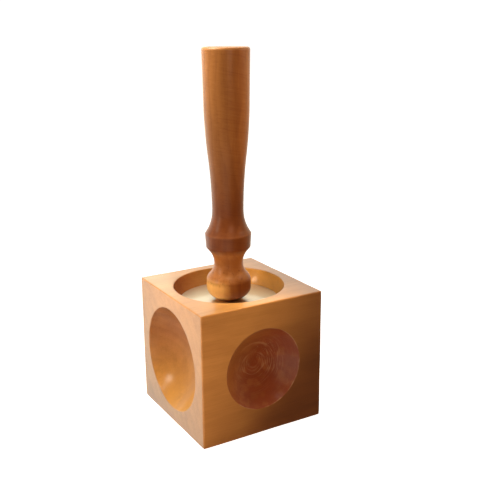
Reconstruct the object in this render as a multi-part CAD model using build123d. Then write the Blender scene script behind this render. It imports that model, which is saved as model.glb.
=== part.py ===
"""A wooden doming block, its turned punch, and the round metal blank that lies in its largest hollow.

Frame: millimetres, +Z up. The origin is the centre of the block's base, on the surface that it stands on.
The block's front is -Y and its left is -X. The punch stands upright on the blank, on the block's own axis.
"""

from build123d import *
from math import sqrt
import os

# Driving dimensions, in millimetres.
BLOCK_EDGE = 60.0
ARRIS_RADIUS = 0.7
RIM_RADIUS = 0.35

# One hollow in each face, as (outward direction of the face, mouth diameter, depth).
# Each hollow is a cap of a sphere, cut square to its face.
HOLLOWS = {
    "top": ((0, 0, 1), 50.0, 22.0),
    "left": ((-1, 0, 0), 47.0, 14.0),
    "right": ((1, 0, 0), 42.0, 12.0),
    "front": ((0, -1, 0), 37.0, 8.5),
    "back": ((0, 1, 0), 32.0, 8.0),
    "base": ((0, 0, -1), 27.0, 7.0),
}
THINNEST_WALL = 2.0

BLANK_DIAMETER = 45.2
BLANK_THICKNESS = 0.8
BLANK_EDGE_RADIUS = 0.2
SEAT_GAP = 0.15

PUNCH_LENGTH = 111.0
TOP_EDGE_RADIUS = 1.1
TIP_GAP = 0.05

# The punch's turned outline, as radius and height above the tip.
CROWN_END = (6.5, 1.2)
HEAD_SIDE = (10.05, 6.0)
HEAD_ARRIS = (9.95, 9.7)
SHOULDER_END = (8.6, 12.1)
WAIST = (6.5, 17.2)
COVE_END = (8.8, 23.2)
COLLAR_FOOT = (9.95, 24.6)
COLLAR_ARRIS = (10.33, 30.7)
COLLAR_SLOPE_END = (8.9, 33.1)
NECK = (7.0, 41.0)
SWELL = (8.3, 64.0)
GRIP_START = (9.95, 90.0)
GRIP_END_RADIUS = 10.25


def sphere_of(mouth, depth):
    """The radius of the sphere whose cap has this mouth and depth, and how far its centre is outside the face."""
    radius = ((mouth / 2) ** 2 + depth**2) / (2 * depth)
    return radius, radius - depth


def sphere_centre(name):
    """The centre and radius of a hollow's sphere."""
    direction, mouth, depth = HOLLOWS[name]
    radius, outside = sphere_of(mouth, depth)
    block_centre = Vector(0, 0, BLOCK_EDGE / 2)
    return block_centre + Vector(direction) * (BLOCK_EDGE / 2 + outside), radius


def wall_between(one, other):
    """The least wood between two hollows."""
    (centre_one, radius_one), (centre_other, radius_other) = sphere_centre(one), sphere_centre(other)
    return (centre_one - centre_other).length - radius_one - radius_other


def check_walls():
    """Stops the build where two neighbouring hollows come too close to each other."""
    for one in HOLLOWS:
        for other in HOLLOWS:
            if Vector(HOLLOWS[one][0]).dot(Vector(HOLLOWS[other][0])) == 0 and one < other:
                wall = wall_between(one, other)
                assert wall >= THINNEST_WALL, f"{one} and {other} leave a wall of {wall:.2f} mm"


def blank_seat_height():
    """The height of the blank's underside, where its edge meets the wall of the top hollow."""
    centre, radius = sphere_centre("top")
    edge = BLANK_DIAMETER / 2 + SEAT_GAP
    return centre.Z - sqrt(radius**2 - edge**2)


def is_one_of(value, choices):
    """Whether a value is the same as one of the choices, to within a hair."""
    return any(abs(value - choice) < 1e-4 for choice in choices)


def make_block():
    """A hardwood cube with eased arrises and a spherical hollow in each of its six faces."""
    block = Pos(0, 0, BLOCK_EDGE / 2) * Box(BLOCK_EDGE, BLOCK_EDGE, BLOCK_EDGE)
    block = fillet(block.edges(), ARRIS_RADIUS)
    mouths = []
    for name, (direction, mouth, depth) in HOLLOWS.items():
        centre, radius = sphere_centre(name)
        block -= Plane(origin=centre, z_dir=direction) * Sphere(radius)
        mouths.append(mouth / 2)
    rims = [edge for edge in block.edges().filter_by(GeomType.CIRCLE) if is_one_of(edge.radius, mouths)]
    return fillet(rims, RIM_RADIUS)


def make_blank():
    """A flat disc of sheet metal with its cut edge smoothed."""
    disc = Cylinder(BLANK_DIAMETER / 2, BLANK_THICKNESS, align=(Align.CENTER, Align.CENTER, Align.MIN))
    disc = fillet(disc.edges().filter_by(GeomType.CIRCLE), BLANK_EDGE_RADIUS)
    return Pos(0, 0, blank_seat_height()) * disc


def arc_from_upright(start, end):
    """An arc from start to end that runs along the punch's axis at start."""
    return TangentArc(start, end, tangent=(0, 1 if end[1] > start[1] else -1))


def arc_onward(arc, end):
    """An arc that carries on smoothly from the end of another one."""
    return TangentArc(arc @ 1, end, tangent=arc % 1)


def make_punch():
    """A punch turned from one dowel: crowned head, waist, collar, slim neck and a long grip that swells."""
    grip_end = (GRIP_END_RADIUS, PUNCH_LENGTH - TOP_EDGE_RADIUS)
    top_edge = (GRIP_END_RADIUS - TOP_EDGE_RADIUS, PUNCH_LENGTH)
    crown = TangentArc((0, 0), CROWN_END, tangent=(1, 0))
    head_cove = arc_from_upright(WAIST, SHOULDER_END)
    outline = [
        crown,
        arc_onward(crown, HEAD_SIDE),
        Line(HEAD_SIDE, HEAD_ARRIS),
        arc_onward(head_cove, HEAD_ARRIS),
        head_cove,
        arc_from_upright(WAIST, COVE_END),
        Line(COVE_END, COLLAR_FOOT),
        Line(COLLAR_FOOT, COLLAR_ARRIS),
        Line(COLLAR_ARRIS, COLLAR_SLOPE_END),
        arc_from_upright(NECK, COLLAR_SLOPE_END),
        arc_from_upright(NECK, SWELL),
        arc_from_upright(GRIP_START, SWELL),
        Line(GRIP_START, grip_end),
        arc_from_upright(grip_end, top_edge),
        Line(top_edge, (0, PUNCH_LENGTH)),
        Line((0, PUNCH_LENGTH), (0, 0)),
    ]
    half_section = Plane.XZ * make_face(Curve(outline).edges())
    tip_height = blank_seat_height() + BLANK_THICKNESS + TIP_GAP
    return Pos(0, 0, tip_height) * revolve(half_section, Axis.Z)


def main():
    check_walls()
    os.makedirs("parts", exist_ok=True)
    parts = {"block": make_block(), "metal_blank": make_blank(), "punch": make_punch()}
    for name, solid in parts.items():
        export_step(solid, f"parts/{name}.step")
    print("blank's underside at", round(blank_seat_height(), 3))
    print("punch's tip at", round(blank_seat_height() + BLANK_THICKNESS + TIP_GAP, 3))


main()
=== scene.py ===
"""The looks of a wooden doming block, its turned punch and the round metal blank between them.

Run as a script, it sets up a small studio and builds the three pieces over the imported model. Lengths are in
metres unless a comment says millimetres. +Z is up, the block's front is -Y and its left is -X.
"""

from math import atan2, cos, pi, radians, sin, sqrt, tau
from typing import NamedTuple

import bpy
import numpy as np
from bpy.props import FloatProperty, FloatVectorProperty, IntProperty, PointerProperty
from mathutils import Matrix, Vector


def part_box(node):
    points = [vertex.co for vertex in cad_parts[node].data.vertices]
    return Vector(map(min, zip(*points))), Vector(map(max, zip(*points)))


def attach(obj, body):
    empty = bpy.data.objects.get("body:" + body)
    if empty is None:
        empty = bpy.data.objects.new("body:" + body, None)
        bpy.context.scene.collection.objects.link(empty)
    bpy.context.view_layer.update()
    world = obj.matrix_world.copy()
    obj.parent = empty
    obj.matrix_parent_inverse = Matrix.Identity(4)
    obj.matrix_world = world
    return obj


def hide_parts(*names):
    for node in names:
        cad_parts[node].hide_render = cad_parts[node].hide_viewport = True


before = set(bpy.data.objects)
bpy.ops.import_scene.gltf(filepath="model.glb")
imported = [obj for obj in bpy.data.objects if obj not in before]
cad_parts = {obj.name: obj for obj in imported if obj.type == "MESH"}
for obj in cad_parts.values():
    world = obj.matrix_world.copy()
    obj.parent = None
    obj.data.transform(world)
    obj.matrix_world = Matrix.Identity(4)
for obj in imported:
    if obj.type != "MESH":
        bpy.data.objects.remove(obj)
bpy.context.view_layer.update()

bl_info = {
    "name": "Doming Block and Punch",
    "version": (1, 0, 0),
    "blender": (4, 5, 0),
    "location": "View3D > Sidebar > Doming Block",
    "description": "Builds a wooden doming block with its punch and a metal blank",
    "category": "Add Mesh",
}

MM = 0.001
HAIR = 1e-9
BLOCK_LOW, BLOCK_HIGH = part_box("block")
BLANK_LOW, BLANK_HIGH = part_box("metal_blank")
PUNCH_LOW, PUNCH_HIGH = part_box("punch")
BLOCK_HALF = (BLOCK_HIGH.x - BLOCK_LOW.x) / 2
BLOCK_CENTRE = (BLOCK_LOW + BLOCK_HIGH) / 2


# ---------------------------------------------------------------- sizes and colours


class BlockSettings(bpy.types.PropertyGroup):
    """Sizes and colours of the wooden block."""

    arris: FloatProperty(
        name="Arris", description="Radius of the sanded outer edges", default=0.7 * MM, unit="LENGTH"
    )
    rim: FloatProperty(
        name="Rim", description="Radius of the eased edge round each hollow", default=0.35 * MM, unit="LENGTH"
    )
    ridge: FloatProperty(
        name="Ridge", description="Height of the cutter's rings", default=0.012 * MM, unit="LENGTH"
    )
    sectors: IntProperty(
        name="Sectors", description="Columns of faces round each hollow", default=192, min=32
    )
    pale: FloatVectorProperty(
        name="Pale Wood",
        description="Early wood under the lacquer",
        default=(0.64, 0.285, 0.075),
        subtype="COLOR",
    )
    deep: FloatVectorProperty(
        name="Deep Wood",
        description="Late wood and dark streaks",
        default=(0.36, 0.135, 0.030),
        subtype="COLOR",
    )
    # Painted shade: the wood darkens toward the block's lower right front.
    lower_right_shade: FloatVectorProperty(
        name="Lower Right Shade",
        description="Tint of the wood nearest the heart",
        default=(0.30, 0.20, 0.17),
        subtype="COLOR",
    )
    # Stain, and painted shade on the hollow walls turned from the lamps.
    stain_and_shade: FloatVectorProperty(
        name="Stain And Shade",
        description="Tint of a hollow stained by use",
        default=(0.51, 0.22, 0.17),
        subtype="COLOR",
    )
    # Painted light on the hollow walls where the lamps fall, and on the punch's head.
    painted_light: FloatVectorProperty(
        name="Painted Light",
        description="Wood rubbed bright by the work",
        default=(0.90, 0.43, 0.07),
        subtype="COLOR",
    )
    scuff: FloatVectorProperty(
        name="Scuff",
        description="Wood scraped pale through the lacquer",
        default=(0.75, 0.45, 0.24),
        subtype="COLOR",
    )


class PunchSettings(bpy.types.PropertyGroup):
    """Sizes and colours of the turned punch."""

    sectors: IntProperty(name="Sectors", description="Columns of faces round the punch", default=144, min=24)
    ridge: FloatProperty(
        name="Ridge", description="Height of the lathe lines", default=0.010 * MM, unit="LENGTH"
    )
    pale: FloatVectorProperty(
        name="Pale Wood",
        description="Early wood under the lacquer",
        default=(0.46, 0.165, 0.036),
        subtype="COLOR",
    )
    deep: FloatVectorProperty(
        name="Deep Wood",
        description="Late wood and dark streaks",
        default=(0.20, 0.052, 0.012),
        subtype="COLOR",
    )
    # Also the colour of the painted highlights along the top edge and the collar's arris.
    scuff: FloatVectorProperty(
        name="Scuff",
        description="Pale high lines left by the lathe",
        default=(0.60, 0.26, 0.09),
        subtype="COLOR",
    )
    # Painted highlight on the head's side that faces the lamps.
    painted_light: FloatVectorProperty(
        name="Painted Light",
        description="Wood rubbed bright where it strikes",
        default=(0.98, 0.56, 0.17),
        subtype="COLOR",
    )
    # Painted shade on the neck, the collar and the head's side away from the lamps.
    shade_tint: FloatVectorProperty(
        name="Shade Tint",
        description="Tint of the dark collar and neck",
        default=(0.47, 0.34, 0.30),
        subtype="COLOR",
    )


class BlankSettings(bpy.types.PropertyGroup):
    """Sizes and colours of the metal blank."""

    sectors: IntProperty(name="Sectors", description="Columns of faces round the blank", default=192, min=24)
    waviness: FloatProperty(
        name="Waviness", description="How far the sheet is off flat", default=0.02 * MM, unit="LENGTH"
    )
    metal: FloatVectorProperty(
        name="Metal", description="The clean metal", default=(0.78, 0.66, 0.49), subtype="COLOR"
    )
    # Random tarnish, and painted shade toward the front right.
    shaded_tarnish: FloatVectorProperty(
        name="Shaded Tarnish",
        description="The metal where handling has dulled it",
        default=(0.66, 0.53, 0.37),
        subtype="COLOR",
    )


class StageSettings(bpy.types.PropertyGroup):
    """The camera, the lights and the floor."""

    azimuth: FloatProperty(
        name="Azimuth",
        description="Where the camera stands round the block",
        default=radians(-30.26),
        unit="ROTATION",
    )
    elevation: FloatProperty(
        name="Elevation",
        description="How high the camera looks from",
        default=radians(15.64),
        unit="ROTATION",
    )
    roll: FloatProperty(name="Roll", description="The camera's tilt", default=radians(-0.52), unit="ROTATION")
    distance: FloatProperty(
        name="Distance", description="From the camera to what it aims at", default=358.4 * MM, unit="LENGTH"
    )
    lens: FloatProperty(name="Lens", description="Focal length", default=58.05, unit="CAMERA")
    aim_right: FloatProperty(
        name="Aim Right",
        description="Aim to the right of the block's centre",
        default=4.8 * MM,
        unit="LENGTH",
    )
    aim_up: FloatProperty(
        name="Aim Up", description="Aim above the block's centre", default=48.7 * MM, unit="LENGTH"
    )
    lamps: FloatProperty(name="Lamps", description="Power of all the lamps, as a share", default=1.0, min=0.0)
    room: FloatProperty(
        name="Room", description="Brightness of the room's soft light, as a share", default=1.0, min=0.0
    )


# ---------------------------------------------------------------- mesh helpers


def rising(value, start, width):
    """0 up to a start, then rising to 1 over a width."""
    return np.clip((value - start) / width, 0, 1)


def falling(value, end, width):
    """1 at first, then falling over a width to 0 at an end."""
    return np.clip((end - value) / width, 0, 1)


def plane_waves(points, wavelength, seed, count=14):
    """A smooth random field over the points, about -1 to 1, made of plane waves near one wavelength."""
    shortest, longest = 0.7, 1.5
    draw = np.random.default_rng(seed)
    total = np.zeros(len(points))
    for _ in range(count):
        direction = draw.normal(size=3)
        direction /= np.linalg.norm(direction)
        length = wavelength * draw.uniform(shortest, longest)
        total += np.sin(points @ direction * (tau / length) + draw.uniform(0, tau))
    return total / sqrt(count)


def ring_heights(count, seed):
    """A random height for each ring of a turned surface, smoothed a little, about -1 to 1."""
    middle = 1.6
    heights = np.random.default_rng(seed).normal(size=count + 2)
    return (heights[:-2] + middle * heights[1:-1] + heights[2:]) / (middle + 1)


def ring_angles(sectors):
    """The angle of each vertex of a ring."""
    return tau * np.arange(sectors) / sectors


def ring_ways(sectors):
    """The way from the axis to each vertex of a ring."""
    angles = ring_angles(sectors)
    return np.stack([np.cos(angles), np.sin(angles)], axis=1)


def ring_quads(first, second, sectors):
    """The faces between two rings of vertices, given the index that each ring starts at."""
    here = np.arange(sectors)
    onward = (here + 1) % sectors
    return np.stack([first + here, second + here, second + onward, first + onward], axis=1)


def fan(pole, ring, sectors):
    """The faces between a pole and a ring of vertices, given the pole's index and the ring's first one."""
    here = np.arange(sectors)
    return np.stack([np.full(sectors, pole), ring + here, ring + (here + 1) % sectors], axis=1)


def make_mesh(name, points, quads, triangles, fields):
    """A smooth-shaded object from arrays of points, quads, triangles and named values at the points."""
    mesh = bpy.data.meshes.new(name)
    mesh.from_pydata(points.tolist(), [], quads.tolist() + triangles.tolist())
    for field, values in fields.items():
        mesh.attributes.new(field, "FLOAT", "POINT").data.foreach_set("value", values.astype(np.float32))
    mesh.shade_smooth()
    mesh.validate()
    piece = bpy.data.objects.new(name, mesh)
    bpy.context.collection.objects.link(piece)
    return piece


def weld(points, faces, fields):
    """Joins points that lie at the same place."""
    nearest = 1e-7
    cells = np.round(points / nearest).astype(np.int64)
    _, first, where = np.unique(cells, axis=0, return_index=True, return_inverse=True)
    faces = [where.reshape(-1)[part] for part in faces]
    return points[first], faces, {name: values[first] for name, values in fields.items()}


def arc_points(start, end, tangent, step):
    """Points along the arc that leaves start along tangent and ends at end, and the way it runs there."""
    start, end = Vector(start), Vector(end)
    along = Vector(tangent).normalized()
    across = Vector((-along.y, along.x))
    chord = end - start
    bend = 2 * chord.dot(across) / chord.length_squared
    straight = abs(bend) < HAIR
    turn = 0.0 if straight else 2 * atan2(chord.dot(across), chord.dot(along))
    length = chord.length if straight else turn / bend
    count = max(2, round(length / step))
    points = []
    for i in range(1, count + 1):
        angle = turn * i / count
        if straight:
            points.append(start + chord * i / count)
        else:
            points.append(start + (along * sin(angle) + across * (1 - cos(angle))) / bend)
    return points, along * cos(turn) + across * sin(turn)


# ---------------------------------------------------------------- the block


class Hollow(NamedTuple):
    """A spherical hollow in one face of the block, and the stain, painted light and painted shade in it."""

    out: tuple  # the way out of the face
    right: tuple  # the way to the face's right
    mouth: float  # across the rim
    depth: float
    seed: int
    least: float  # the least stain; below zero, the wall takes painted light instead
    most: float
    darkens_toward: tuple  # the way that the stain and painted shade deepen


# The top hollow takes painted light on its back right wall and painted shade on its front left wall; the left
# hollow takes painted light low down and painted shade up high; the front hollow darkens toward its lower
# right as painted shade. The other hollows hold stain only.
HOLLOWS = {
    "top": Hollow((0, 0, 1), (1, 0, 0), 50 * MM, 22 * MM, 11, -0.95, 0.80, (-0.75, -0.35, 0)),
    "left": Hollow((-1, 0, 0), (0, -1, 0), 47 * MM, 14 * MM, 12, -0.9, 0.42, (0, 0.1, 1)),
    "right": Hollow((1, 0, 0), (0, 1, 0), 42 * MM, 12 * MM, 13, 0.0, 0.7, (0, 0, 1)),
    "front": Hollow((0, -1, 0), (1, 0, 0), 37 * MM, 8.5 * MM, 14, 0.05, 1.25, (0.5, 0, -0.3)),
    "back": Hollow((0, 1, 0), (-1, 0, 0), 32 * MM, 8 * MM, 15, 0.2, 0.9, (0.3, 0, -0.9)),
    "base": Hollow((0, 0, -1), (1, 0, 0), 27 * MM, 7 * MM, 16, 0.1, 0.5, (1, 0, 0)),
}

# How far the stain and painted light are from least to most in the middle of a hollow, and how much further
# they are at the rim.
TONE_AT_MIDDLE = 0.72
TONE_CHANGE = 0.66

# A face's rings: the step down the hollow's wall, and how many there are on the rim, the flat and the arris.
WALL_STEP = 0.42 * MM
RIM_RINGS = 5
WORN_RIM_RINGS = 3
FLAT_RINGS = 9
FLAT_CROWDING = 1.15  # above 1, the flat's rings lie closer together near the hollow
ARRIS_RINGS = 5

# The cutter's rings: how far each is broken into arcs, how much the arcs turn for each millimetre of wall,
# the uneven patches between them, and the width of the smooth band that they leave under the rim.
ARC_LEAST, ARC_CHANGE = 0.55, 0.45
ARC_TURN = 0.21
PATCH_SIZE, PATCH_SHARE = 5 * MM, 0.8
SMOOTH_BAND = 1.2 * MM

# The arrises are rounded least where handling has spared them: the size of such patches and the least share.
ARRIS_PATCH_SIZE, ARRIS_SEED, ARRIS_LEAST = 14 * MM, 3, 0.75


class Ring(NamedTuple):
    """A ring of vertices round a hollow."""

    across: float  # from the hollow's axis
    height: float  # above the face
    along: float  # from the bottom of the hollow, along its wall
    inside: float  # 1 in the hollow, 0 outside it
    worn: float  # 1 at the rim


def sphere_of(mouth, depth):
    """The radius of the sphere that a hollow is a cap of, and how far its centre is outside the face."""
    radius = ((mouth / 2) ** 2 + depth**2) / (2 * depth)
    return radius, radius - depth


def hollow_rings(mouth, depth, rim):
    """The rings of a spherical hollow, and after them the ones of its eased rim."""
    radius, outside = sphere_of(mouth, depth)
    rim_across = sqrt((radius + rim) ** 2 - (outside + rim) ** 2)
    widest = atan2(rim_across, outside + rim)
    count = round(radius * widest / WALL_STEP)
    rings = []
    for i in range(1, count + 1):
        angle = widest * i / count
        height = outside - radius * cos(angle)
        rings.append(Ring(radius * sin(angle), height, radius * angle, 1.0, float(i == count)))
    start = atan2(outside + rim, -rim_across)
    for i in range(1, RIM_RINGS + 1):
        angle = start + (pi / 2 - start) * i / RIM_RINGS
        along = radius * widest + rim * i / RIM_RINGS
        inside, worn = max(0.0, 1 - i / WORN_RIM_RINGS), float(i <= WORN_RIM_RINGS)
        rings.append(Ring(rim_across + rim * cos(angle), rim * sin(angle) - rim, along, inside, worn))
    return rings


def face_patch(hollow, settings):
    """One face of the block in its own plane: the hollow, its rim, the flat and half of each arris.
    Gives the points, and for each point its distance along the wall, whether it is inside, and its wear."""
    sectors = settings.sectors
    angles, round_way = ring_angles(sectors), ring_ways(sectors)
    square_way = round_way / np.abs(round_way).max(axis=1, keepdims=True)
    rings = hollow_rings(hollow.mouth, hollow.depth, settings.rim)
    heights = ring_heights(len(rings), hollow.seed)
    centre = np.array([0.0, 0.0, sphere_of(hollow.mouth, hollow.depth)[1]])
    wall_end = rings[-1 - RIM_RINGS].along
    points = [np.array([[0.0, 0.0, -hollow.depth]])]
    for ring, height in zip(rings, heights):
        spots = np.column_stack([round_way * ring.across, np.full(sectors, ring.height)])
        arcs = ARC_LEAST + ARC_CHANGE * np.sin(angles * 2 + hollow.seed + ring.along / MM * ARC_TURN)
        patches = PATCH_SHARE * plane_waves(spots, PATCH_SIZE, hollow.seed)
        raised = settings.ridge * (height * arcs + patches)
        raised *= ring.inside * falling(ring.along, wall_end, SMOOTH_BAND)
        inward = centre - spots
        inward /= np.linalg.norm(inward, axis=1, keepdims=True)
        points.append(spots + inward * raised[:, None])
    flat_half = BLOCK_HALF - settings.arris
    for i in range(1, FLAT_RINGS + 1):
        share = (i / FLAT_RINGS) ** FLAT_CROWDING
        spots = round_way * rings[-1].across * (1 - share) + square_way * flat_half * share
        points.append(np.column_stack([spots, np.zeros(sectors)]))
    for i in range(1, ARRIS_RINGS + 1):
        reach = flat_half + settings.arris * np.tan(radians(45) * i / ARRIS_RINGS)
        points.append(np.column_stack([square_way * reach, np.zeros(sectors)]))
    values = [(ring.along, ring.inside, ring.worn) for ring in rings]
    values += [(rings[-1].along, 0.0, 0.0)] * (FLAT_RINGS + ARRIS_RINGS)
    values = np.concatenate([[(0.0, 1.0, 0.0)], np.repeat(values, sectors, axis=0)])
    return np.concatenate(points), values


def ease_arrises(points, radius):
    """Rounds a cube's outer edges: a point on the cube's skin moves onto a cube with rounded edges."""
    core_half = (BLOCK_HALF - radius)[:, None]
    core = np.clip(points, -core_half, core_half)
    out = points - core
    length = np.linalg.norm(out, axis=1, keepdims=True)
    near_edge = (np.abs(points) > core_half + HAIR).sum(axis=1) >= 2
    eased = core + out / np.maximum(length, HAIR) * radius[:, None]
    return np.where(near_edge[:, None], eased, points), near_edge


def build_block(settings):
    """The block: six faces, each with its own hollow, welded along the arrises."""
    sectors = settings.sectors
    points, quads, triangles = [], [], []
    fields = {"along": [], "hollow": [], "worn": [], "stain_and_painted_light": []}
    start = 0
    for hollow in HOLLOWS.values():
        patch, values = face_patch(hollow, settings)
        out, right = Vector(hollow.out), Vector(hollow.right)
        placed = patch @ np.array([right, out.cross(right), out])
        points.append(placed + np.array(out) * BLOCK_HALF)
        # The stain, with painted shade on walls turned from the lamps and, below zero, painted light where
        # they fall.
        reach = placed @ np.array(hollow.darkens_toward)
        share = np.clip(TONE_AT_MIDDLE + TONE_CHANGE * reach / (hollow.mouth / 2), 0, 1)
        stain_and_painted_light = hollow.least + (hollow.most - hollow.least) * share * share * (3 - 2 * share)
        for name, column in zip(("along", "hollow", "worn"), values.T):
            fields[name].append(column)
        fields["stain_and_painted_light"].append(values[:, 1] * stain_and_painted_light)
        triangles.append(fan(start, start + 1, sectors))
        for first in range(start + 1, start + len(patch) - sectors, sectors):
            quads.append(ring_quads(first, first + sectors, sectors))
        start += len(patch)
    points = np.concatenate(points)
    fields = {name: np.concatenate(parts) for name, parts in fields.items()}
    patches = 0.5 + 0.5 * np.clip(plane_waves(points, ARRIS_PATCH_SIZE, ARRIS_SEED), -1, 1)
    points, near_edge = ease_arrises(points, settings.arris * (ARRIS_LEAST + (1 - ARRIS_LEAST) * patches))
    fields["arris"] = near_edge.astype(float)
    faces = [np.concatenate(quads), np.concatenate(triangles)]
    points, (quads, triangles), fields = weld(points, faces, fields)
    return make_mesh("doming_block", points + np.array(BLOCK_CENTRE), quads, triangles, fields)


# ---------------------------------------------------------------- turned pieces


# The turned surfaces sit this many ridge heights inside the CAD's, so that no ridge stands proud of it.
SUNK = 1.5

# The punch's outline, as distance from its axis and height above its tip, in millimetres. The collar's arris
# is where the punch is widest.
CROWN_END = (6.5, 1.2)
HEAD_SIDE = (10.05, 6.0)
HEAD_ARRIS = (9.95, 9.7)
SHOULDER_END = (8.6, 12.1)
WAIST = (6.5, 17.2)
COVE_END = (8.8, 23.2)
COLLAR_FOOT = (9.95, 24.6)
COLLAR_ARRIS = 30.7
COLLAR_SLOPE_END = (8.9, 33.1)
NECK = (7.0, 41.0)
SWELL = (8.3, 64.0)
GRIP_START = (9.95, 90.0)
GRIP_UNDER_COLLAR = 0.08 * MM
TOP_ROUND = 1.1 * MM
OUTLINE_STEP = 0.4 * MM

# The lathe lines, with uneven patches, and the waves in the blank's sheet.
PUNCH_RIDGE_SEED = 21
PUNCH_PATCH_SIZE, PUNCH_PATCH_SEED, PUNCH_PATCH_SHARE = 16 * MM, 22, 0.5
BLANK_ROUND = 0.2 * MM
BLANK_WAVE_SIZE, BLANK_WAVE_SEED, BLANK_WAVE_SHARE = 22 * MM, 31, 0.4


def turn_on_lathe(name, outline, sectors, raise_by, fields_at=None):
    """A solid turned about the Z axis. The outline runs from one pole to the other."""
    way = ring_ways(sectors)
    rings = outline[1:-1]
    points = [np.array([[0.0, 0.0, outline[0].y]])]
    for index, spot in enumerate(rings):
        slope = (outline[index + 2] - outline[index]).normalized()
        ring = np.column_stack([way * spot.x, np.full(sectors, spot.y)])
        raised = raise_by(ring, index)
        ring += np.column_stack([way * (slope.y * raised)[:, None], -slope.x * raised])
        points.append(ring)
    points.append(np.array([[0.0, 0.0, outline[-1].y]]))
    points = np.concatenate(points)
    end_pole = len(points) - 1
    end_ring = end_pole - sectors
    quads = np.concatenate([
        ring_quads(first, first + sectors, sectors)[:, ::-1] for first in range(1, end_ring, sectors)
    ])
    triangles = np.concatenate([fan(0, 1, sectors)[:, [0, 2, 1]], fan(end_pole, end_ring, sectors)])
    fields = {}
    if fields_at:
        along = np.cumsum([(b - a).length for a, b in zip(outline, outline[1:])])
        along = np.concatenate([[0.0], np.repeat(along[:-1], sectors), [along[-1]]])
        fields = {"along": along, **fields_at(points)}
    return make_mesh(name, points, quads, triangles, fields)


def punch_outline():
    """The punch's half section from the tip to the centre of its top, as (distance from the axis, height)."""
    collar, grip = PUNCH_HIGH.x, PUNCH_HIGH.x - GRIP_UNDER_COLLAR
    tip, top = PUNCH_LOW.z, PUNCH_HIGH.z

    def at(spot):
        return Vector((spot[0] * MM, tip + spot[1] * MM))

    outline = [Vector((0.0, tip))]

    def arc(end, tangent):
        """An arc to end that leaves along tangent. Gives the way that it runs at end."""
        points, leaving = arc_points(outline[-1], end, tangent, OUTLINE_STEP)
        outline.extend(points)
        return leaving

    def line(end):
        arc(end, end - outline[-1])

    def arc_back(end, tangent=(0, -1)):
        """An arc to end, drawn from there back along tangent. Gives the way that it runs where it began."""
        points, leaving = arc_points(end, outline[-1], tangent, OUTLINE_STEP)
        outline.extend(list(reversed(points))[1:] + [end])
        return leaving

    leaving = arc(at(CROWN_END), (1, 0))
    arc(at(HEAD_SIDE), leaving)
    line(at(HEAD_ARRIS))
    _, into_shoulder = arc_points(at(WAIST), at(SHOULDER_END), (0, -1), OUTLINE_STEP)
    arc_back(at(SHOULDER_END), into_shoulder)
    arc_back(at(WAIST))
    arc(at(COVE_END), (0, 1))
    line(at(COLLAR_FOOT))
    line(Vector((collar, tip + COLLAR_ARRIS * MM)))
    line(at(COLLAR_SLOPE_END))
    arc_back(at(NECK))
    arc(at(SWELL), (0, 1))
    arc_back(at(GRIP_START))
    line(Vector((grip, top - TOP_ROUND)))
    arc(Vector((grip - TOP_ROUND, top)), (0, 1))
    line(Vector((0.0, top)))
    return outline


# The zones of the punch's finish, in millimetres above its tip.
CROWN_TOP, HEAD_TOP, FLECKS_TOP = 8, 11, 18
# Where the painted shade on the neck and collar starts and ends.
NECK_SHADE_FOOT, NECK_SHADE_TOP = 22, 72
# The heights of the painted highlights along the collar's arris and the top edge.
COLLAR_HIGHLIGHT, TOP_HIGHLIGHT = 30.9, 109.6
TOP_FLAT = 8.2 * MM
# The side of the head that faces the lamps: a painted highlight there, painted shade round the rest of the
# head.
LIT_SIDE = (-0.98, -0.17)


def punch_fields(points):
    """Where the punch is flecked, and where it takes painted shade, a painted highlight on its head and
    painted highlights along its edges, 0 to 1. Heights are in millimetres.
    """
    across = np.hypot(points[:, 0], points[:, 1])
    facing = points[:, :2] @ np.array(LIT_SIDE) / np.maximum(across, HAIR)
    height = (points[:, 2] - PUNCH_LOW.z) / MM
    # Painted shade: darker on the neck and collar, and on the head's side away from the lamps.
    neck_shade = rising(height, NECK_SHADE_FOOT, 3) * falling(height, NECK_SHADE_TOP, 30)
    head_shade = falling(height, HEAD_TOP + 2, 4) * falling(facing, 0.85, 0.7)
    # Painted highlights along the top edge and the collar's arris.
    top_highlight = rising(height, TOP_HIGHLIGHT, 0.9) * (across > TOP_FLAT)
    collar_highlight = np.clip(1 - np.abs(height - COLLAR_HIGHLIGHT) / 0.7, 0, 1)
    return {
        "head": falling(height, FLECKS_TOP, 3) * rising(height, CROWN_TOP, 1.5),
        "painted_shade": np.maximum(neck_shade, head_shade),
        # painted highlight on the head's lit side
        "painted_head_highlight": falling(height, HEAD_TOP, 3) * rising(facing, 0.55, 0.40),
        # the rim value holds the painted edge highlights
        "rim": np.maximum(top_highlight, 0.7 * collar_highlight),
    }


def build_punch(settings):
    """The punch: one turned piece with lathe lines."""
    outline = punch_outline()
    heights = ring_heights(len(outline), PUNCH_RIDGE_SEED)

    def raise_by(ring, index):
        patches = PUNCH_PATCH_SHARE * plane_waves(ring, PUNCH_PATCH_SIZE, PUNCH_PATCH_SEED)
        return settings.ridge * (heights[index] - SUNK + patches)

    return turn_on_lathe("doming_punch", outline, settings.sectors, raise_by, punch_fields)


def blank_outline():
    """The blank's half section, from the middle of its underside round its edge to the middle of its top."""
    face_step, side_step, round_step = 0.5 * MM, 0.2 * MM, 0.08 * MM
    reach, low, high = BLANK_HIGH.x, BLANK_LOW.z, BLANK_HIGH.z
    outline = [Vector((0.0, low))]
    for end, tangent, step in (
        ((reach - BLANK_ROUND, low), (1, 0), face_step),
        ((reach, low + BLANK_ROUND), (1, 0), round_step),
        ((reach, high - BLANK_ROUND), (0, 1), side_step),
        ((reach - BLANK_ROUND, high), (0, 1), round_step),
        ((0.0, high), (-1, 0), face_step),
    ):
        outline.extend(arc_points(outline[-1], end, tangent, step)[0])
    return outline


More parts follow.
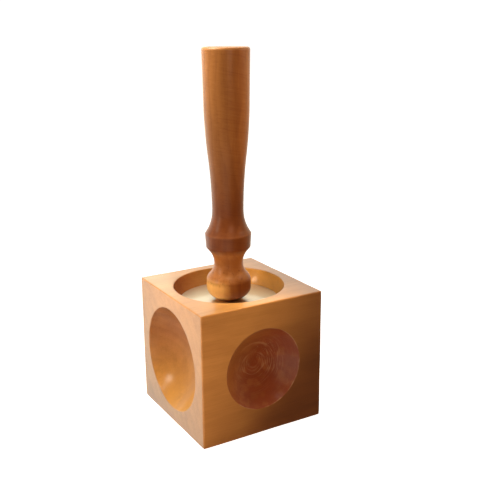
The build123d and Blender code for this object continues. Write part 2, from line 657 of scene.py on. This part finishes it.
def build_blank(settings):
    """The blank: a disc of sheet metal, not quite flat."""

    def raise_by(ring, _):
        waves = plane_waves(ring, BLANK_WAVE_SIZE, BLANK_WAVE_SEED)
        return settings.waviness * (waves - SUNK) * BLANK_WAVE_SHARE

    return turn_on_lathe("brass_blank", blank_outline(), settings.sectors, raise_by)


# ---------------------------------------------------------------- finishes


def scaled(values, share):
    """The same values, each times a share."""
    return tuple(value * share for value in values)


def shade(colour, share=1.0):
    """A colour as the nodes want it, with a fourth value."""
    return (*scaled(colour, share), 1.0)


class Nodes:
    """Short calls for the kinds of node that the finishes and the room's light use."""

    def __init__(self, tree):
        self.tree = tree

    def feed(self, socket, value):
        """Gives a socket a number, a colour or another node's output."""
        if isinstance(value, bpy.types.NodeSocket):
            self.tree.links.new(value, socket)
        else:
            socket.default_value = value

    def node(self, kind, inputs, **settings):
        """Adds a node with its settings, and feeds its inputs."""
        node = self.tree.nodes.new(kind)
        for name, value in settings.items():
            setattr(node, name, value)
        for name, value in inputs.items():
            self.feed(node.inputs[name], value)
        return node

    def maths(self, operation, a, b=0.0, c=0.0):
        return self.node("ShaderNodeMath", {0: a, 1: b, 2: c}, operation=operation).outputs[0]

    def vector(self, operation, a, b):
        return self.node("ShaderNodeVectorMath", {0: a, 1: b}, operation=operation).outputs[0]

    def measure(self, operation, a, b=(0.0, 0.0, 0.0)):
        """A number from vectors: a dot product, a distance or a length."""
        return self.node("ShaderNodeVectorMath", {0: a, 1: b}, operation=operation).outputs["Value"]


class Recipe(Nodes):
    """A material's nodes. Places are in millimetres."""

    def __init__(self, name):
        self.material = bpy.data.materials.new(name)
        self.material.use_nodes = True
        super().__init__(self.material.node_tree)

    def finish(self, inputs):
        """Sets the shader's own sockets and gives the material."""
        shader = self.tree.nodes["Principled BSDF"]
        for name, value in inputs.items():
            self.feed(shader.inputs[name], value)
        return self.material

    def place(self):
        """Where on the object."""
        spot = self.node("ShaderNodeTexCoord", {}).outputs["Object"]
        return self.node("ShaderNodeVectorMath", {0: spot, 3: 1 / MM}, operation="SCALE").outputs[0]

    def value_at(self, name):
        """A named value that the mesh holds at its points."""
        return self.node("ShaderNodeAttribute", {}, attribute_name=name).outputs["Fac"]

    def clamped(self, value):
        """A value kept between 0 and 1."""
        return self.maths("MINIMUM", self.maths("MAXIMUM", value, 0.0), 1.0)

    def between(self, value, low, high, to_low=0.0, to_high=1.0):
        """A smooth step of a value from low to high."""
        inputs = {"Value": value, "From Min": low, "From Max": high, "To Min": to_low, "To Max": to_high}
        return self.node("ShaderNodeMapRange", inputs, interpolation_type="SMOOTHSTEP").outputs["Result"]

    def noise(self, place, scale=None, detail=2.0, roughness=0.5):
        """Noise, 0 to 1. The scale is one number or one along each axis: the more, the finer the noise."""
        if scale is not None:
            place = self.vector("MULTIPLY", place, scale if isinstance(scale, tuple) else (scale,) * 3)
        inputs = {"Vector": place, "Scale": 1.0, "Detail": detail, "Roughness": roughness}
        return self.node("ShaderNodeTexNoise", inputs).outputs["Fac"]

    def mix(self, share, a, b, blend_type="MIX"):
        """Mixes two colours. A mix node's colours go in at 6 and 7 and come out at 2."""
        inputs = {0: share, 6: a, 7: b}
        return self.node("ShaderNodeMix", inputs, data_type="RGBA", blend_type=blend_type).outputs[2]

    def tinted(self, colour, tint):
        """A colour multiplied by a tint."""
        return self.mix(1.0, colour, shade(tint), "MULTIPLY")

    def bump(self, height, distance, strength, under=None):
        """The normal over a height from 0 to 1, where 1 stands for a distance in metres."""
        inputs = {"Height": height, "Distance": distance, "Strength": strength}
        if under is not None:
            inputs["Normal"] = under
        return self.node("ShaderNodeBump", inputs).outputs["Normal"]


# Lines left by the cutter and the lathe: the noise along the wall or the outline, for each metre.
TURNED_LINES = 1300.0

# Scratches: the noise along, across and under them, and the widths of the two sets that cross.
SCRATCH_SCALE = (0.09, 2.1, 0.35)
SCRATCH_WIDTHS = (0.012, 0.010)

# The side of the blank that takes painted shade.
SHADED_SIDE = (0.86, -0.5, 0.0)

# Heights of bumps, in metres.
FIBRE_HEIGHT = 0.00003
CUTTER_HEIGHT = 0.00004
LATHE_HEIGHT = 0.00005
SCRATCH_HEIGHT = 0.00003
ROLLED_HEIGHT = 0.000004

# How broad the clouds in the block's hollows are, as noise for each millimetre.
CLOUD_SCALE = 0.17

# In the block, painted shade that darkens the wood toward the lower right front: its way, where along it the
# shade starts and where it is full, and how far its edge wanders, in millimetres.
SHADE_WAY = (0.80, -0.15, -0.58)
SHADE_START, SHADE_FULL, SHADE_WANDER = -42.0, 18.0, 24.0

# The cutter's arcs and the scratches show most round these spots, and fade from a near to a far distance, all
# in millimetres. The arcs also fade at the bottom of each hollow, in metres along its wall.
ARC_SPOT, ARC_NEAR, ARC_FAR = (1.0, -24.0, 31.0), 6.0, 15.0
ARC_BOTTOM, ARC_START = 1.0 * MM, 3.5 * MM
SCRATCH_SPOT, SCRATCH_NEAR, SCRATCH_FAR = (4.0, -23.0, 35.0), 3.0, 9.0

# The brightening of the block's arrises by handling.
HANDLED = (1.15, 1.10, 1.02)


def wood_grain(recipe, place, fine, broad, heart, across, ring_gap):
    """The values that wood varies by: late wood, fibres, pores and broad bands, each 0 to 1."""
    wander = 12.0
    swirl = recipe.noise(place, broad, 2.0)
    push = recipe.maths("MULTIPLY", recipe.maths("SUBTRACT", swirl, 0.5), wander)
    from_heart = recipe.vector("MULTIPLY", recipe.vector("SUBTRACT", place, heart), across)
    distance = recipe.maths("ADD", recipe.measure("LENGTH", from_heart), push)
    season = recipe.maths("FRACT", recipe.maths("DIVIDE", distance, ring_gap))
    early_to_late = recipe.between(season, 0.2, 0.9)
    late = recipe.maths("MULTIPLY", early_to_late, recipe.between(season, 0.9, 1.0, 1.0, 0.0))
    fibres = recipe.noise(place, fine, 4.0, 0.6)
    pores = recipe.between(recipe.noise(place, scaled(fine, 3.4), 1.0), 0.60, 0.72)
    bands = recipe.noise(place, scaled(broad, 2.3), 3.0, 0.55)
    return late, fibres, pores, bands


def turned_lines(recipe, along, drift, detail, roughness):
    """Fine lines round a turned surface, 0 to 1. The drift breaks each line up on its way round."""
    line = recipe.maths("MULTIPLY", along, TURNED_LINES)
    line = recipe.node("ShaderNodeCombineXYZ", {"X": line}).outputs[0]
    return recipe.noise(recipe.vector("ADD", line, drift), None, detail, roughness)


def scratch_lines(recipe, place, turn, width):
    """Thin straight scratches across one direction, 0 to 1."""
    inputs = {"Vector": place, "Rotation": turn}
    spun = recipe.node("ShaderNodeVectorRotate", inputs, rotation_type="EULER_XYZ").outputs["Vector"]
    drawn = recipe.noise(spun, SCRATCH_SCALE, 1.0)
    ridge = recipe.maths("ABSOLUTE", recipe.maths("SUBTRACT", drawn, 0.5))
    return recipe.between(ridge, 0.0, width, 1.0, 0.0)


def crossed_scratches(recipe, place, *turns):
    """Two sets of scratches that cross, 0 to 1."""
    first, second = (scratch_lines(recipe, place, turn, width) for turn, width in zip(turns, SCRATCH_WIDTHS))
    return recipe.maths("MAXIMUM", first, second)


def fading_from(recipe, place, spot, near, far, least):
    """1 within the near distance of a spot, falling to the least at the far distance."""
    return recipe.between(recipe.measure("DISTANCE", place, spot), near, far, 1.0, least)


def sum_of(recipe, *shares):
    """Adds up shares of a finish."""
    total = shares[0]
    for share in shares[1:]:
        total = recipe.maths("ADD", total, share)
    return total


def block_finish(settings):
    """Straight-grained hardwood under satin lacquer, with the grain along X."""
    recipe = Recipe("block_wood")
    place = recipe.place()
    late, fibres, pores, bands = wood_grain(
        recipe,
        place,
        fine=(0.05, 1.7, 1.7),
        broad=(0.016, 0.05, 0.05),
        heart=(0, 74, -38),
        across=(0, 1, 1),
        ring_gap=5.0,
    )
    hollow, stain_and_painted_light, along = recipe.value_at("hollow"), recipe.value_at("stain_and_painted_light"), recipe.value_at("along")

    # The grain.
    share = sum_of(
        recipe,
        recipe.maths("MULTIPLY", late, 0.10),
        recipe.between(fibres, 0.3, 0.75, 0.0, 0.16),
        recipe.between(bands, 0.38, 0.72, 0.0, 0.28),
        recipe.maths("MULTIPLY", pores, 0.12),
    )
    colour = recipe.mix(share, shade(settings.pale), shade(settings.deep))

    # Painted shade toward the lower right front, which shows less in the hollows.
    drift = recipe.maths("MULTIPLY_ADD", recipe.noise(place, 0.03), SHADE_WANDER, -SHADE_WANDER / 2)
    toward_shade = recipe.measure("DOT_PRODUCT", place, SHADE_WAY)
    lower_right_shade = recipe.between(recipe.maths("ADD", toward_shade, drift), SHADE_START, SHADE_FULL)
    lower_right_shade = recipe.maths("MULTIPLY", lower_right_shade, recipe.maths("MULTIPLY_ADD", hollow, -0.6, 1.0))
    colour = recipe.mix(lower_right_shade, colour, recipe.tinted(colour, settings.lower_right_shade))

    # The hollows: stained, with painted shade on walls turned from the lamps and painted light where the
    # lamps fall, and clouded.
    colour = recipe.mix(recipe.clamped(stain_and_painted_light), colour, recipe.tinted(colour, settings.stain_and_shade))
    # Painted light on the walls where the lamps fall.
    bright = recipe.mix(share, shade(settings.painted_light), shade(settings.pale))
    colour = recipe.mix(recipe.clamped(recipe.maths("MULTIPLY", stain_and_painted_light, -1.0)), colour, bright)
    clouds = recipe.noise(place, CLOUD_SCALE, 3.0, 0.55)
    pale_clouds = recipe.maths("MULTIPLY", recipe.between(clouds, 0.50, 0.68, 0.0, 0.14), hollow)
    colour = recipe.mix(pale_clouds, colour, shade(settings.pale))
    dark_clouds = recipe.maths("MULTIPLY", recipe.between(clouds, 0.32, 0.46, 0.16, 0.0), hollow)
    colour = recipe.mix(dark_clouds, colour, shade(settings.deep))

    # Scuffs: the cutter's arcs and scratches in the hollows, and the worn rims.
    clouded_place = recipe.vector("MULTIPLY", place, (CLOUD_SCALE,) * 3)
    turning = turned_lines(recipe, along, clouded_place, 2.0, 0.6)
    patch = fading_from(recipe, place, ARC_SPOT, ARC_NEAR, ARC_FAR, 0.12)
    patch = recipe.maths("MULTIPLY", patch, recipe.between(along, ARC_BOTTOM, ARC_START))
    patch = recipe.maths("MULTIPLY", patch, hollow)
    arcs = recipe.maths("MULTIPLY", recipe.between(turning, 0.50, 0.66), patch)
    marks = crossed_scratches(recipe, place, (0.3, 0.9, 0.4), (0.2, -0.8, -0.5))
    patch = fading_from(recipe, place, SCRATCH_SPOT, SCRATCH_NEAR, SCRATCH_FAR, 0.10)
    marks = recipe.maths("MULTIPLY", marks, recipe.maths("MULTIPLY", patch, hollow))
    scuffs = recipe.maths("MAXIMUM", arcs, marks)
    colour = recipe.mix(recipe.maths("MULTIPLY", scuffs, 0.22), colour, shade(settings.scuff))
    rim = recipe.maths("MULTIPLY", recipe.value_at("worn"), recipe.between(clouds, 0.40, 0.62, 0.0, 0.28))
    colour = recipe.mix(rim, colour, shade(settings.scuff))

    # The arrises, paler from handling.
    arris = recipe.maths("MULTIPLY", recipe.value_at("arris"), 0.7)
    colour = recipe.mix(arris, colour, recipe.tinted(colour, HANDLED))

    rough = recipe.between(fibres, 0.2, 0.8, 0.36, 0.46)
    normal = recipe.bump(fibres, FIBRE_HEIGHT, 0.35)
    normal = recipe.bump(recipe.maths("MULTIPLY", turning, hollow), CUTTER_HEIGHT, 0.6, normal)
    normal = recipe.bump(marks, SCRATCH_HEIGHT, 0.5, normal)
    lacquer = recipe.maths("MULTIPLY_ADD", hollow, -0.18, 0.5)
    return recipe.finish({
        "Base Color": colour,
        "Roughness": recipe.maths("MULTIPLY_ADD", scuffs, 0.12, rough),
        "Normal": normal,
        "Coat Weight": recipe.maths("MULTIPLY_ADD", stain_and_painted_light, -0.12, lacquer),
        "Coat Roughness": 0.16,
        "Specular IOR Level": 0.25,
    })


def punch_finish(settings):
    """Turned hardwood under satin lacquer, with the grain along Z."""
    recipe = Recipe("punch_wood")
    place = recipe.place()
    late, fibres, pores, bands = wood_grain(
        recipe,
        place,
        fine=(1.9, 1.9, 0.05),
        broad=(0.07, 0.07, 0.014),
        heart=(-16, 9, 0),
        across=(1, 1, 0),
        ring_gap=3.1,
    )

    # The grain.
    share = sum_of(
        recipe,
        recipe.maths("MULTIPLY", late, 0.14),
        recipe.between(fibres, 0.3, 0.75, 0.0, 0.10),
        recipe.between(bands, 0.40, 0.72, 0.0, 0.26),
        recipe.maths("MULTIPLY", pores, 0.08),
    )
    colour = recipe.mix(share, shade(settings.pale), shade(settings.deep))

    # The lathe lines, some dark and some pale, and painted highlights along the edges of the top and the
    # collar.
    drift = recipe.vector("MULTIPLY", place, (0.28, 0.28, 0.0))
    lines = turned_lines(recipe, recipe.value_at("along"), drift, 3.0, 0.65)
    colour = recipe.mix(recipe.between(lines, 0.50, 0.72, 0.0, 0.24), colour, shade(settings.deep))
    colour = recipe.mix(recipe.between(lines, 0.30, 0.46, 0.12, 0.0), colour, shade(settings.scuff))
    # Painted highlights along the top edge and the collar's arris, in the scuff colour.
    colour = recipe.mix(recipe.maths("MULTIPLY", recipe.value_at("rim"), 0.7), colour, shade(settings.scuff))

    # Painted shade on the neck, the collar and the head's side away from the lamps, a painted highlight on
    # the head's lit side, and the flecked head.
    colour = recipe.mix(recipe.value_at("painted_shade"), colour, recipe.tinted(colour, settings.shade_tint))
    painted_head_highlight = recipe.maths("MULTIPLY", recipe.value_at("painted_head_highlight"), recipe.between(bands, 0.3, 0.6, 1.0, 0.75))
    colour = recipe.mix(painted_head_highlight, colour, shade(settings.painted_light))
    flecks = recipe.between(recipe.noise(place, (0.8, 0.8, 0.6), 4.0, 0.65), 0.54, 0.68)
    on_head = recipe.maths("MULTIPLY_ADD", recipe.value_at("head"), 0.34, 0.05)
    flecks = recipe.maths("MULTIPLY", flecks, on_head)
    colour = recipe.mix(flecks, colour, shade(settings.deep, 0.5))

    return recipe.finish({
        "Base Color": colour,
        "Roughness": recipe.between(fibres, 0.2, 0.8, 0.34, 0.46),
        "Normal": recipe.bump(lines, LATHE_HEIGHT, 0.6, recipe.bump(fibres, FIBRE_HEIGHT, 0.35)),
        "Coat Weight": 0.15,
        "Coat Roughness": 0.22,
        "Specular IOR Level": 0.18,
    })


def blank_finish(settings):
    """Satin sheet metal with a rolled grain and light scratches."""
    recipe = Recipe("blank_brass")
    place = recipe.place()
    cloud = recipe.noise(place, 0.16, 3.0)
    scratches = recipe.maths("MULTIPLY", crossed_scratches(recipe, place, (0, 0, 0.7), (0, 0, -0.35)), 0.5)

    # Painted shade: the metal darkens toward the front right, mixed with random tarnish clouds.
    darkening = recipe.measure("DOT_PRODUCT", place, SHADED_SIDE)
    darkening = recipe.maths("MULTIPLY_ADD", darkening, 0.020, recipe.maths("MULTIPLY", cloud, 0.3))
    colour = recipe.mix(recipe.between(darkening, -0.25, 0.55), shade(settings.metal), shade(settings.shaded_tarnish))
    colour = recipe.mix(recipe.maths("MULTIPLY", scratches, 0.3), colour, shade(settings.metal, 1.08))

    rough = recipe.between(cloud, 0.3, 0.7, 0.46, 0.52)
    rolled = recipe.bump(recipe.noise(place, (0.12, 5.0, 1.0), 3.0, 0.7), ROLLED_HEIGHT, 0.5)
    return recipe.finish({
        "Base Color": colour,
        "Roughness": recipe.maths("MULTIPLY_ADD", scratches, 0.1, rough),
        "Normal": recipe.bump(scratches, ROLLED_HEIGHT, 0.5, rolled),
        "Metallic": 1.0,
        "Coat Weight": 0.8,
        "Coat Roughness": 0.10,
    })


# ---------------------------------------------------------------- the studio


class Glow(NamedTuple):
    """One glow of the room's soft light."""

    way: tuple  # the way that it comes from
    narrow: float  # the more, the smaller the part of the room that glows
    colour: tuple


GLOWS = (
    Glow((0, 1, 0.1), 2, (1.26, 1.28, 1.18)),
    Glow((-0.8, 0.6, 0.1), 2, (0.18, 0.12, 0.02)),
    Glow((0.7, 0.7, 0.1), 2, (0.78, 0.77, 0.64)),
    Glow((1, 0, 0.1), 2, (0.36, 0.28, 0.12)),
    Glow((0.7, -0.7, 0.1), 2, (0.22, 0.10, 0.07)),
    Glow((-0.7, 0.2, -0.7), 2, (0.72, 0.70, 0.64)),
    Glow((0.7, 0.2, -0.7), 2, (0.14, 0.06, 0.01)),
    Glow((-0.485, 0.832, -0.27), 8, (0.66, 0.68, 0.61)),
)


class Lamp(NamedTuple):
    """A soft square lamp."""

    place: tuple
    aim: tuple  # the spot that it points at
    size: float
    power: float  # in watts
    colour: tuple
    spread: float = 180.0  # in degrees


LAMPS = {
    "top_lamp": Lamp((-0.05, 0.02, 0.22), (0, 0, 0.05), 0.06, 0.145, (1.0, 1.0, 0.90)),
    "edge_lamp": Lamp((-0.008, -0.032, 0.125), (0, -0.026, 0.06), 0.03, 0.0038, (1.0, 0.94, 0.60), 50),
    "high_lamp": Lamp((-0.10, 0.02, 0.25), (0, 0, 0.05), 0.12, 0.019, (1.0, 1.0, 0.8)),
    "back_lamp": Lamp((0.10, 0.10, 0.25), (0, 0, 0.05), 0.12, 0.022, (0.9, 1.0, 0.9)),
    "rim_lamp": Lamp((0.02, 0.17, 0.12), (0, 0, 0.05), 0.06, 0.016, (1.0, 1.0, 0.7)),
    "left_lamp": Lamp((-0.124, 0.009, 0.093), (0, 0, 0.045), 0.02, 0.0070, (1.0, 0.80, 0.62), 70),
    "side_lamp": Lamp((-0.111, 0.013, 0.130), (0, 0, 0.045), 0.02, 0.0042, (1.0, 0.80, 0.62), 70),
    "low_lamp": Lamp((-0.065, -0.09, 0.025), (0, 0, 0.05), 0.11, 0.052, (1.0, 0.82, 0.62)),
    "front_lamp": Lamp((-0.03, -0.14, 0.17), (0, 0, 0.12), 0.05, 0.034, (1.0, 0.74, 0.60)),
    "right_lamp": Lamp((0.10, -0.06, 0.18), (0, 0, 0.05), 0.06, 0.036, (1.0, 0.78, 0.64)),
    "warm_lamp": Lamp((0.13, -0.02, 0.15), (0, 0, 0.05), 0.10, 0.022, (1.0, 0.52, 0.10)),
}

SENSOR_WIDTH = 36
NEAREST_SEEN = 10 * MM

# The floor is a wide dish. Its middle touches the block's base. It is flat to one radius, curves up to the
# other, and ends in an upright wall.
FLOOR_HEIGHT = -0.2 * MM
FLOOR_FLAT, FLOOR_RADIUS = 1.2, 2.2
FLOOR_CURVE_TOP, FLOOR_WALL_TOP = 1.0, 2.2
FLOOR_STEP = 0.12
FLOOR_SECTORS = 96


def make_camera(settings):
    """The camera, aimed beside and above the block's centre."""
    azimuth, elevation, roll = settings.azimuth, settings.elevation, settings.roll
    back = Vector((sin(azimuth) * cos(elevation), -cos(azimuth) * cos(elevation), sin(elevation)))
    right = Vector((cos(azimuth), sin(azimuth), 0))
    up = back.cross(right)
    right, up = right * cos(roll) + up * sin(roll), up * cos(roll) - right * sin(roll)
    aim = BLOCK_CENTRE + right * settings.aim_right + up * settings.aim_up
    camera = bpy.data.objects.new("camera", bpy.data.cameras.new("camera"))
    camera.data.lens = settings.lens
    camera.data.sensor_width = SENSOR_WIDTH
    camera.data.clip_start = NEAREST_SEEN
    bpy.context.collection.objects.link(camera)
    turn = Matrix((right, up, back)).transposed().to_4x4()
    camera.matrix_world = Matrix.Translation(aim + back * settings.distance) @ turn
    bpy.context.scene.camera = camera


def make_lamp(name, lamp, share):
    """Hangs one of the lamps, out of the camera's sight, at a share of its power."""
    light = bpy.data.lights.new(name, "AREA")
    light.shape = "SQUARE"
    light.size = lamp.size
    light.energy = lamp.power * share
    light.color = lamp.colour
    light.spread = radians(lamp.spread)
    holder = bpy.data.objects.new(name, light)
    bpy.context.collection.objects.link(holder)
    holder.location = lamp.place
    holder.rotation_euler = (Vector(lamp.aim) - Vector(lamp.place)).to_track_quat("-Z", "Y").to_euler()
    holder.visible_camera = False


def make_room_light(settings):
    """The soft light of the room, from a bright backdrop and table and a dim room in front."""
    world = bpy.data.worlds.new("studio")
    world.use_nodes = True
    bpy.context.scene.world = world
    nodes = Nodes(world.node_tree)
    way = nodes.node("ShaderNodeTexCoord", {}).outputs["Generated"]
    total = (0.0, 0.0, 0.0)
    for glow in GLOWS:
        facing = nodes.measure("DOT_PRODUCT", way, Vector(glow.way).normalized())
        strength = nodes.maths("POWER", nodes.maths("MAXIMUM", facing, 0.0), glow.narrow)
        tinted = nodes.vector("MULTIPLY", strength, scaled(glow.colour, settings.room))
        total = nodes.vector("ADD", total, tinted)
    nodes.feed(world.node_tree.nodes["Background"].inputs["Color"], total)


def make_floor():
    """A wide pale dish: flat under the object and turned up far away all round."""
    profile = [Vector((0.0, FLOOR_HEIGHT))]
    for end, tangent in (
        ((FLOOR_FLAT, FLOOR_HEIGHT), (1, 0)),
        ((FLOOR_RADIUS, FLOOR_CURVE_TOP), (1, 0)),
        ((FLOOR_RADIUS, FLOOR_WALL_TOP), (0, 1)),
    ):
        profile.extend(arc_points(profile[-1], end, tangent, FLOOR_STEP)[0])
    way = ring_ways(FLOOR_SECTORS)
    points = [np.zeros((1, 3))]
    points += [np.column_stack([way * spot.x, np.full(FLOOR_SECTORS, spot.y)]) for spot in profile[1:]]
    starts = range(1, 1 + (len(profile) - 2) * FLOOR_SECTORS, FLOOR_SECTORS)
    quads = np.concatenate([ring_quads(first, first + FLOOR_SECTORS, FLOOR_SECTORS) for first in starts])
    floor = make_mesh("floor", np.concatenate(points), quads, fan(0, 1, FLOOR_SECTORS), {})
    floor.data.materials.append(Recipe("floor_white").finish({
        "Base Color": (0.82, 0.82, 0.82, 1.0),
        "Roughness": 0.9,
        "Specular IOR Level": 0.0,
        "Emission Color": (1.0, 1.0, 1.0, 1.0),
        "Emission Strength": 0.95,
    }))
    floor.visible_diffuse = False
    floor.visible_glossy = False


# ---------------------------------------------------------------- operators


class DOMING_OT_stage(bpy.types.Operator):
    """Set up the camera, the soft lights and the pale floor"""

    bl_idname = "doming.stage"
    bl_label = "Studio"
    bl_options = {"REGISTER", "UNDO"}

    def execute(self, context):
        settings = context.scene.doming_stage
        make_camera(settings)
        make_room_light(settings)
        make_floor()
        for name, lamp in LAMPS.items():
            make_lamp(name, lamp, settings.lamps)
        context.scene.view_settings.view_transform = "Standard"
        return {"FINISHED"}


class DOMING_OT_block(bpy.types.Operator):
    """Build the hardwood block with its six hollows"""

    bl_idname = "doming.block"
    bl_label = "Doming Block"
    bl_options = {"REGISTER", "UNDO"}

    def execute(self, context):
        settings = context.scene.doming_block
        block = build_block(settings)
        block.data.materials.append(block_finish(settings))
        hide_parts("block")
        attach(block, "block")
        return {"FINISHED"}


class DOMING_OT_blank(bpy.types.Operator):
    """Build the metal blank that lies in the top hollow"""

    bl_idname = "doming.blank"
    bl_label = "Metal Blank"
    bl_options = {"REGISTER", "UNDO"}

    def execute(self, context):
        settings = context.scene.doming_blank
        blank = build_blank(settings)
        blank.data.materials.append(blank_finish(settings))
        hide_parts("metal_blank")
        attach(blank, "blank")
        return {"FINISHED"}


class DOMING_OT_punch(bpy.types.Operator):
    """Build the turned punch that stands on the blank"""

    bl_idname = "doming.punch"
    bl_label = "Turned Punch"
    bl_options = {"REGISTER", "UNDO"}

    def execute(self, context):
        settings = context.scene.doming_punch
        punch = build_punch(settings)
        punch.data.materials.append(punch_finish(settings))
        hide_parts("punch")
        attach(punch, "punch")
        return {"FINISHED"}


class DOMING_PT_panel(bpy.types.Panel):
    """Lists the pieces of the doming block"""

    bl_idname = "DOMING_PT_panel"
    bl_label = "Doming Block"
    bl_space_type = "VIEW_3D"
    bl_region_type = "UI"
    bl_category = "Doming Block"

    def draw(self, context):
        for operator in OPERATORS:
            self.layout.operator(operator.bl_idname)


SETTINGS = {
    "doming_block": BlockSettings,
    "doming_punch": PunchSettings,
    "doming_blank": BlankSettings,
    "doming_stage": StageSettings,
}
OPERATORS = (DOMING_OT_stage, DOMING_OT_block, DOMING_OT_blank, DOMING_OT_punch)


def register():
    for name, group in SETTINGS.items():
        bpy.utils.register_class(group)
        setattr(bpy.types.Scene, name, PointerProperty(type=group))
    for operator in OPERATORS:
        bpy.utils.register_class(operator)
    bpy.utils.register_class(DOMING_PT_panel)


def unregister():
    bpy.utils.unregister_class(DOMING_PT_panel)
    for operator in reversed(OPERATORS):
        bpy.utils.unregister_class(operator)
    for name, group in SETTINGS.items():
        delattr(bpy.types.Scene, name)
        bpy.utils.unregister_class(group)


def main():
    register()
    bpy.ops.doming.stage()
    bpy.ops.doming.block()
    bpy.ops.doming.blank()
    bpy.ops.doming.punch()


if __name__ == "__main__":
    main()
